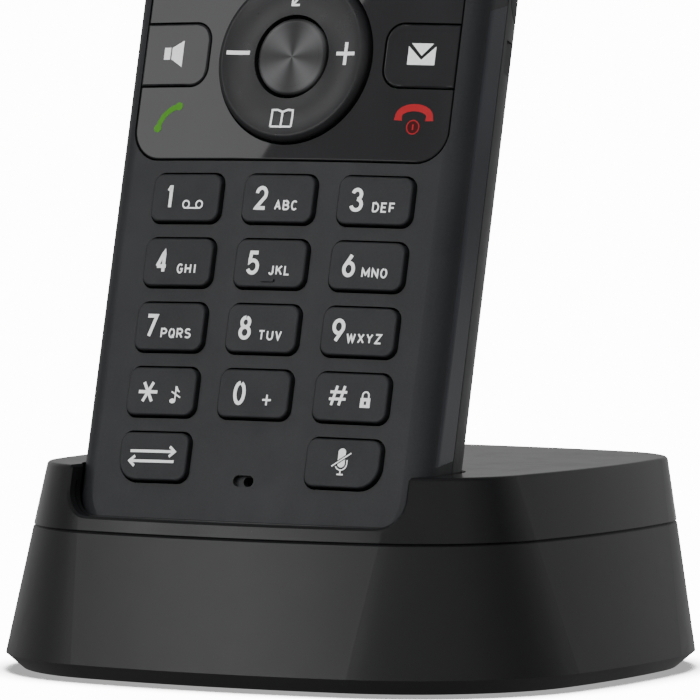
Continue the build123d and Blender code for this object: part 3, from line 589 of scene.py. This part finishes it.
def asterisk(ink, x, y):
    """Three bars crossed at equal angles."""
    reach, weight = 1.38, 0.4
    for angle in (0, 60, 120):
        dx, dy = reach * math.cos(math.radians(angle)), reach * math.sin(math.radians(angle))
        ink.stroke([(x - dx, y - dy), (x + dx, y + dy)], weight)


def music_off(ink, x, y):
    """Note with its stem, flag and head, crossed out."""
    ink.face(arc(x - 0.38, y - 0.78, 0.42, 0.3, 0, 345))
    ink.stroke([(x - 0.02, y - 0.75), (x - 0.02, y + 1.05)], 0.17)
    ink.stroke([(x - 0.02, y + 1.0), (x + 0.25, y + 0.55), (x + 0.55, y + 0.35)], [0.3, 0.26, 0.12])
    ink.stroke([(x - 0.62, y + 0.38), (x + 0.72, y - 0.34)], 0.18)


def padlock(ink, x, y):
    """Closed padlock with a bare keyhole."""
    width, height = 0.66, 0.55
    keyhole = 0.17
    for side in (-1, 1):
        ink.face([(x + side * keyhole, y - 2 * height), (x + side * width, y - 2 * height),
                  (x + side * width, y + 0.1), (x + side * keyhole, y + 0.1)])
    ink.face([(x - keyhole, y - 0.3), (x + keyhole, y - 0.3), (x + keyhole, y + 0.1),
              (x - keyhole, y + 0.1)])
    ink.face([(x - keyhole, y - 2 * height), (x + keyhole, y - 2 * height),
              (x + keyhole, y - 0.75), (x - keyhole, y - 0.75)])
    ink.stroke([(x - 0.42, y + 0.1), *arc(x, y + 0.42, 0.42, 0.42, 180, 0), (x + 0.42, y + 0.1)], 0.2)


def transfer_arrows(ink, x, y):
    """Two opposed arrows, one above the other."""
    half, head, rise, weight = 3.3, 0.62, 0.62, 0.34
    for side in (-1, 1):
        tip, level = x + side * half, y + side * rise
        barb = tip - side * (head + 0.15)
        ink.stroke([(x - side * half, level), (tip - side * 0.3, level)], weight)
        ink.stroke([(barb, level + head), (tip, level), (barb, level - head)], weight)


def clipped(outline, distance):
    """The part of a convex outline where distance(x, y) is above zero."""
    kept = []
    for i, here in enumerate(outline):
        last = outline[i - 1]
        a, b = distance(*last), distance(*here)
        if (a > 0) != (b > 0):
            share = a / (a - b)
            kept.append((last[0] + (here[0] - last[0]) * share, last[1] + (here[1] - last[1]) * share))
        if b > 0:
            kept.append(here)
    return kept


def microphone_off(ink, x, y):
    """Microphone on its stand, crossed out with a bare line along each side of the stroke."""
    radius, cradle, foot, ground = 0.5, 0.78, 0.42, 1.52
    bar, slope, gap = 1.25, 0.68, 0.27
    centre = y + 0.3                # where the crossing bar passes the middle of the microphone
    capsule = [*arc(x, y + 1.2, radius, radius, 0, 180), *arc(x, y - 0.15, radius, radius, 180, 360)]

    def above(px, py):
        return py - (centre + slope * (px - x)) - gap

    def below(px, py):
        return (centre + slope * (px - x)) - gap - py

    ink.face(clipped(capsule, above))
    ink.face(clipped(capsule, below))
    ink.stroke([*arc(x, y - 0.2, cradle, cradle, 205, 360), (x + cradle, y + 0.3)], 0.15)
    ink.stroke([(x, y - 0.2 - cradle), (x, y - 1.5)], 0.18)
    ink.stroke([(x - foot, y - ground), (x + foot, y - ground)], 0.18)
    ink.stroke([(x - bar, centre - slope * bar), (x + bar, centre + slope * bar)], 0.16)


def print_number_pad():
    """The legends of the fourteen keys."""
    for digit, letters in KEY_LETTERS.items():
        ink, x, y = key_print(f"legend_{digit}", f"key_{digit}")
        half = LEGEND_WIDTH[len(letters)] / 2
        left, right = x + LEGEND_MIDDLE - half, x + LEGEND_MIDDLE + half
        glyph(ink, digit, left, left + DIGIT_WIDTH * WIDE.get(digit, 1.0), y + DIGIT_ROW[0],
              y + DIGIT_ROW[1], DIGIT_STROKE)
        if letters:
            word(ink, letters, right, y + LETTER_ROW[0], y + LETTER_ROW[1], LETTER_STROKE)
        if digit == "1":
            voicemail_mark(ink, x, y)
        if digit == "0":
            glyph(ink, "+", x + 1.31, x + 2.76, y - 1.5, y + 0.05, 0.24)
        ink.finish()
    ink, x, y = key_print("legend_star", "key_star")
    asterisk(ink, x - 1.9, y - 0.1)
    music_off(ink, x + 2.27, y - 0.4)
    ink.finish()
    ink, x, y = key_print("legend_hash", "key_hash")
    glyph(ink, "#", x - 3.07, x - 0.15, y - 1.2, y + 1.54, 0.34)
    padlock(ink, x + 2.17, y - 0.1)
    ink.finish()
    ink, x, y = key_print("legend_transfer", "key_transfer")
    transfer_arrows(ink, x - 0.1, y)
    ink.finish()
    ink, x, y = key_print("legend_mute", "key_mute")
    microphone_off(ink, x - 0.08, y + 0.15)
    ink.finish()


# ---------------------------------------------------------------- function panel

# Places are in millimetres from the middle of the ring, in the handset's frame.

def speaker_mark():
    """Loudspeaker: its magnet and its cone."""
    ink = Print("icon_speaker", "key_speaker", "key_speaker", MATERIALS["ink_white"])
    ink.face([(-19.4, -0.15), (-18.45, -0.15), (-18.45, 1.37), (-19.4, 1.37)])
    ink.face([(-18.25, -0.1), (-16.55, -1.12), (-16.55, 2.24), (-18.25, 1.35)])
    ink.finish()


def envelope_mark():
    """Envelope whose flap is set off by a bare line."""
    ink = Print("icon_envelope", "key_message", "key_message", MATERIALS["ink_white"])
    left, right, low, high = 15.85, 19.55, -0.68, 2.02
    middle, dip, gap = (left + right) / 2, 0.12, 0.36
    ink.face([(left + gap, high), (middle, dip + gap), (right - gap, high)])
    ink.face([(left, low), (right, low), (right, high - gap), (middle, dip - gap / 2),
              (left, high - gap)])
    ink.finish()


def message_rim():
    """Raised bead inside the message key's rounded side."""
    low, high = local_box("key_message")
    inset, corner = 0.75, 1.7
    left, bottom, top = low.x + inset, low.y + inset, high.y - inset
    path = [(high.x - 0.3, bottom), *arc(left + corner, bottom + corner, corner, corner, 270, 180),
            *arc(left + corner, top - corner, corner, corner, 180, 90), (high.x - 0.3, top)]
    bead = Print("message_key_rim", "key_message", "key_message", MATERIALS["panel_gloss"])
    bead.stroke(path, 0.22)
    piece = bead.finish()
    soft = piece.modifiers.new("soft", "BEVEL")
    soft.width = 0.02 * MM
    soft.segments = 2


def handset_mark(name, material, x, y, radius, start, end, weight):
    """Telephone receiver: an arc with a round cup at each end."""
    ink = Print(name, "function_plate", "function_plate", material)
    points = arc(x, y, radius, radius, start, end)
    ink.stroke(points, weight)
    for cup_x, cup_y in (points[0], points[-1]):
        ink.face(arc(cup_x, cup_y, 0.55, 0.52, 0, 345))
    return ink


def call_mark():
    """Green receiver, standing on its end."""
    ink = handset_mark("icon_call", MATERIALS["ink_green"], -15.55, -9.65, 3.6, 100, 168, 0.72)
    ink.finish()


def end_mark():
    """Red receiver lying flat, over a small ringed mark."""
    ink = Print("icon_end", "function_plate", "function_plate", MATERIALS["ink_red"])
    ink.layer = 1                   # over the dark disc
    middle, cups, disc_y, half_bar = 17.6, -7.65, -8.45, 0.35
    bow = arc(middle, -7.1, 2.1, 1.1, 175, 5)
    ink.stroke([(middle - 2.12, cups), *bow, (middle + 2.12, cups)], [1.1, *[0.9] * len(bow), 1.1])
    ink.stroke(arc(middle, disc_y, 0.82, 0.85, 0, 345), 0.15, closed=True)
    ink.stroke([(middle, disc_y - half_bar), (middle, disc_y + half_bar)], 0.2)
    ink.finish()
    disc = Print("icon_power", "function_plate", "function_plate", MATERIALS["ink_dark_red"])
    disc.face(arc(middle, disc_y, 0.74, 0.77, 0, 345))
    disc.finish()


def ring_marks():
    """Minus at the left, plus at the right, an open book below and a pair of arrows above."""
    ink = Print("icon_ring", "nav_ring", "nav_ring", MATERIALS["ink_white"])
    plus_x, plus_y = 7.6, 0.43
    ink.stroke([(-9.4, 0.48), (-6.15, 0.48)], 0.5)
    ink.stroke([(plus_x - 1.3, plus_y), (plus_x + 1.3, plus_y)], 0.45)
    ink.stroke([(plus_x, plus_y - 1.43), (plus_x, plus_y + 1.43)], 0.45)
    left, right, low, high = -1.85, 1.1, -8.85, -6.75
    spine = (left + right) / 2
    for x in (left, right):
        ink.stroke([(x, low), (x, high), ((x + spine) / 2, high + 0.03), (spine, high - 0.22)], 0.26)
        ink.stroke([(x, low), (spine, low)], 0.24)
    ink.stroke([(spine, low - 0.15), (spine, high - 0.2)], 0.26)
    barb = 1.05
    for side in (-1, 1):
        x, y = side * 0.75 - 0.1, 7.9 + side * 1.35
        ink.stroke([(x - side * 1.0, y - side * 1.1), (x, y)], 0.28)
        ink.stroke([(x - side * barb, y), (x, y), (x, y - side * barb)], 0.28)
    ink.finish()


def soft_key_marks():
    """A short bar on each soft key."""
    for side, name in ((-1, "soft_key_left"), (1, "soft_key_right")):
        ink = Print(f"icon_{name}", name, name, MATERIALS["ink_white"])
        ink.stroke([(side * 11.5, 16.0), (side * 14.5, 16.0)], 0.35)
        ink.finish()


# ---------------------------------------------------------------- centre button

def centre_button():
    """Turned metal button: a dished face in fine steps inside a polished bevel."""
    low, high = local_box("nav_button")
    radius = (high.x - low.x) / 2 - 0.12
    crown, bevel, dish = high.z, 0.3, 0.08
    profile = [(radius, low.z), (radius, crown - bevel), (radius - 0.08, crown - 0.12),
               (radius - bevel, crown)]
    rings = 24
    for i in range(1, rings):
        share = 1 - i / rings
        reach = (radius - bevel - 0.05) * share
        profile.append((reach, crown - dish * (1 - share**2)))
    mesh = bmesh.new()
    segments = 96
    turns = [2 * math.pi * k / segments for k in range(segments)]
    loops = []
    for reach, height in profile:
        loops.append([mesh.verts.new((reach * math.cos(turn) * MM, reach * math.sin(turn) * MM,
                                      height * MM)) for turn in turns])
    for inner, outer in zip(loops, loops[1:]):
        for k in range(segments):
            n = (k + 1) % segments
            mesh.faces.new((inner[k], inner[n], outer[n], outer[k]))
    middle = mesh.verts.new((0, 0, (crown - dish) * MM))
    for k in range(segments):
        mesh.faces.new((loops[-1][k], loops[-1][(k + 1) % segments], middle))
    mesh.faces.new(list(reversed(loops[0])))
    bmesh.ops.recalc_face_normals(mesh, faces=mesh.faces)
    data = bpy.data.meshes.new("centre_button")
    mesh.to_mesh(data)
    mesh.free()
    for polygon in data.polygons:
        polygon.use_smooth = len(polygon.vertices) < 5
    data.materials.append(MATERIALS["button_metal"])
    piece = bpy.data.objects.new("centre_button", data)
    bpy.context.scene.collection.objects.link(piece)
    piece.matrix_world = HANDSET
    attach(piece, "nav_button")
    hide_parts("nav_button")


# ---------------------------------------------------------------- studio

WHITE = 14.0                        # radiance that comes out as paper white
BOX_RADIANCE = 1.9                  # the light mirrored in the panel
FILL = 0.5                          # even light from all round
FACE_CROWN = 250.0                  # mm, radius of the handset's face across its width
AIM = Vector((0, 0, 0.06))          # where the soft lights point


def reflected(point, normal):
    """Direction that the camera sees mirrored at a point."""
    seen = (Vector(CAMERA_PLACE) - point).normalized()
    return (2 * seen.dot(normal) * normal - seen).normalized()


def on_panel(x, y):
    """A point of the crowned panel and its normal there."""
    lean = math.asin(x / FACE_CROWN)
    place = HANDSET @ (Vector((x, y, FACE_CROWN * (math.cos(lean) - 1))) * MM)
    return place, (ACROSS * math.sin(lean) + OUT * math.cos(lean)).normalized()


def area_light(name, place, across, up, size, radiance):
    """Rectangular soft light that shines along -(across x up)."""
    data = bpy.data.lights.new(name, "AREA")
    data.shape = "RECTANGLE"
    data.size, data.size_y = size
    data.energy = radiance * size[0] * size[1] * math.pi
    light = bpy.data.objects.new(name, data)
    bpy.context.scene.collection.objects.link(light)
    turn = Matrix((across, up, across.cross(up))).transposed().to_4x4()
    turn.translation = place
    light.matrix_world = turn
    light.visible_camera = False
    return light


def unmirrored_light(name, azimuth, elevation, distance, size, radiance):
    """Soft light that nothing mirrors: azimuth 0 is in front of the object and 90 at its right."""
    a, e = math.radians(azimuth), math.radians(elevation)
    back = Vector((math.sin(a) * math.cos(e), -math.cos(a) * math.cos(e), math.sin(e)))
    across = Vector((math.cos(a), math.sin(a), 0))
    light = area_light(name, AIM + back * distance, across, back.cross(across), size, radiance)
    light.visible_glossy = False


def panel_box():
    """Soft box whose lower edge is mirrored as a slanting line across the function panel."""
    distance, size = 1.2, (0.66, 0.40)
    spots = [on_panel(-2.5, -13), on_panel(12, 13)]
    low, high = (place + reflected(place, normal) * distance for place, normal in spots)
    across = (high - low).normalized()
    outward = ((low + high) / 2 - FACE_MIDDLE).normalized()
    outward = (outward - across * outward.dot(across)).normalized()
    up = outward.cross(across)
    if up.z < 0:
        up, across = -up, -across
    place = (low + high) / 2 + up * size[1] / 2 - across * 0.04
    area_light("panel_box", place, across, up, size, BOX_RADIANCE)


def low_boxes():
    """Low soft boxes near the cradle's front, mirrored in its front wall and not in the panel."""
    reach, bottom, top = 0.46, 0.10, 0.195
    for azimuth, width, radiance in ((-22, 0.20, 2.5), (-46, 0.17, 0.75)):
        a = math.radians(azimuth)
        place = Vector((math.sin(a) * reach, -math.cos(a) * reach, (bottom + top) / 2))
        across = Vector((math.cos(a), math.sin(a), 0))
        area_light("low_box", place, across, Vector((0, 0, 1)), (width, top - bottom), radiance)


def make_world():
    """White to the camera, a mirrored studio for glossy surfaces and an even fill for the rest."""
    world = bpy.data.worlds.new("studio")
    bpy.context.scene.world = world
    world.use_nodes = True
    tree = world.node_tree
    tree.nodes.clear()
    path = tree.nodes.new("ShaderNodeLightPath")
    seen = add(tree, "Background", Color=(1, 1, 1, 1), Strength=WHITE)
    fill = add(tree, "Background", Color=(0.94, 0.97, 1, 1), Strength=FILL)
    mirror = add(tree, "Background", Color=mirror_studio(tree), Strength=1.0)
    soft = add(tree, "MixShader", Fac=path.outputs["Is Glossy Ray"])
    tree.links.new(fill.outputs[0], soft.inputs[1])
    tree.links.new(mirror.outputs[0], soft.inputs[2])
    mix = add(tree, "MixShader", Fac=path.outputs["Is Camera Ray"])
    tree.links.new(soft.outputs[0], mix.inputs[1])
    tree.links.new(seen.outputs[0], mix.inputs[2])
    out = tree.nodes.new("ShaderNodeOutputWorld")
    tree.links.new(mix.outputs[0], out.inputs["Surface"])


# Brightness of the studio's walls round the object: (azimuth, radiance), 0 in front, 90 at the right
WALLS = ((-180, 0.40), (-150, 0.35), (-115, 0.45), (-70, 0.20), (-50, 0.42), (60, 0.42), (80, 0.25),
         (100, 0.12), (140, 0.50), (165, 0.50), (180, 0.40))


def mirror_studio(tree):
    """What glossy surfaces mirror: soft panels round the walls, dimmer towards the ceiling."""
    split = add(tree, "SeparateXYZ", Vector=tree.nodes.new("ShaderNodeTexCoord").outputs["Generated"])
    backwards = add(tree, "Math", Value=split.outputs["Y"])
    backwards.operation = "MULTIPLY"
    backwards.inputs[1].default_value = -1
    turn = add(tree, "Math", Value=split.outputs["X"])
    turn.operation = "ARCTAN2"
    tree.links.new(backwards.outputs[0], turn.inputs[1])
    share = between(tree, turn.outputs[0], 0.0, 1.0, start=-math.pi, end=math.pi)
    stops = [((azimuth + 180) / 360, (level, level, level)) for azimuth, level in WALLS]
    walls = tones(tree, share, *stops)
    dim = between(tree, split.outputs["Z"], 1.0, 0.35, start=0.3, end=0.75)
    shaded = add(tree, "VectorMath", Vector=walls)
    shaded.operation = "SCALE"
    tree.links.new(dim, shaded.inputs["Scale"])
    return shaded.outputs["Vector"]


PAINTED_SHADOW_REACH = 0.006               # metres from the cradle within which a contact shadow is painted into the floor's light
MIRRORED_REACH = 2.5                # metres over which the mirrored floor changes its brightness


def floor_material():
    """White to the camera with a painted contact shadow round the cradle, soft grey light to matt surfaces, and a
    fading sheen where it is mirrored.
    """
    material = bpy.data.materials.new("floor")
    material.use_nodes = True
    tree = material.node_tree
    tree.nodes.clear()
    path = tree.nodes.new("ShaderNodeLightPath")
    # Painted shadow: ambient occlusion dims the floor's white light where the cradle is close, a contact shadow
    # painted into the emission.
    near = add(tree, "AmbientOcclusion", Distance=PAINTED_SHADOW_REACH)
    near.samples = 12
    glow_with_painted_shadow = between(tree, near.outputs["AO"], 0.45, WHITE, start=0.5, end=0.95)
    pale_with_painted_shadow = add(tree, "Emission", Color=(1, 1, 1, 1), Strength=glow_with_painted_shadow)
    paper = add(tree, "BsdfDiffuse", Color=(0.28, 0.28, 0.28, 1))
    place = surface_place(tree)
    reach = add(tree, "VectorMath", Vector=place)
    reach.operation = "LENGTH"
    level = tones(tree, between(tree, reach.outputs["Value"], 0.0, 1.0, start=0, end=MIRRORED_REACH),
                  (0.0, (0.5,) * 3), (0.3, (0.75,) * 3), (0.5, (0.5,) * 3), (0.75, (0.2,) * 3))
    behind = between(tree, add(tree, "SeparateXYZ", Vector=place).outputs["Y"], 0.3, 1.0,
                     start=0.0, end=0.08)
    sheen = add(tree, "Emission", Color=level, Strength=behind)
    unseen = add(tree, "MixShader", Fac=path.outputs["Is Glossy Ray"])
    tree.links.new(paper.outputs[0], unseen.inputs[1])
    tree.links.new(sheen.outputs[0], unseen.inputs[2])
    mix = add(tree, "MixShader", Fac=path.outputs["Is Camera Ray"])
    tree.links.new(unseen.outputs[0], mix.inputs[1])
    tree.links.new(pale_with_painted_shadow.outputs[0], mix.inputs[2])
    out = tree.nodes.new("ShaderNodeOutputMaterial")
    tree.links.new(mix.outputs[0], out.inputs["Surface"])
    return material


def make_floor():
    """Large square under the cradle."""
    data = bpy.data.meshes.new("floor")
    mesh = bmesh.new()
    bmesh.ops.create_grid(mesh, x_segments=8, y_segments=8, size=3.0)
    mesh.to_mesh(data)
    mesh.free()
    data.materials.append(floor_material())
    floor = bpy.data.objects.new("floor", data)
    bpy.context.scene.collection.objects.link(floor)


def make_lights():
    panel_box()
    low_boxes()
    unmirrored_light("front_fill", 10, 35, 1.3, (1.0, 0.7), 6.6)
    unmirrored_light("top_soft", 0, 80, 1.1, (1.0, 1.0), 2.4)
    unmirrored_light("left_soft", -120, 20, 1.1, (0.6, 0.9), 1.2)


def make_camera():
    camera = bpy.data.objects.new("camera", bpy.data.cameras.new("camera"))
    bpy.context.scene.collection.objects.link(camera)
    camera.location = CAMERA_PLACE
    camera.rotation_euler = (math.radians(90 - CAMERA_TILT), 0, math.radians(CAMERA_TURN))
    camera.data.lens = CAMERA_LENS
    camera.data.sensor_width = 36
    camera.data.clip_start = 0.01
    bpy.context.scene.camera = camera


make_camera()
dress_nodes()
centre_button()
print_number_pad()
speaker_mark()
envelope_mark()
message_rim()
call_mark()
end_mark()
ring_marks()
soft_key_marks()
make_world()
make_floor()
make_lights()
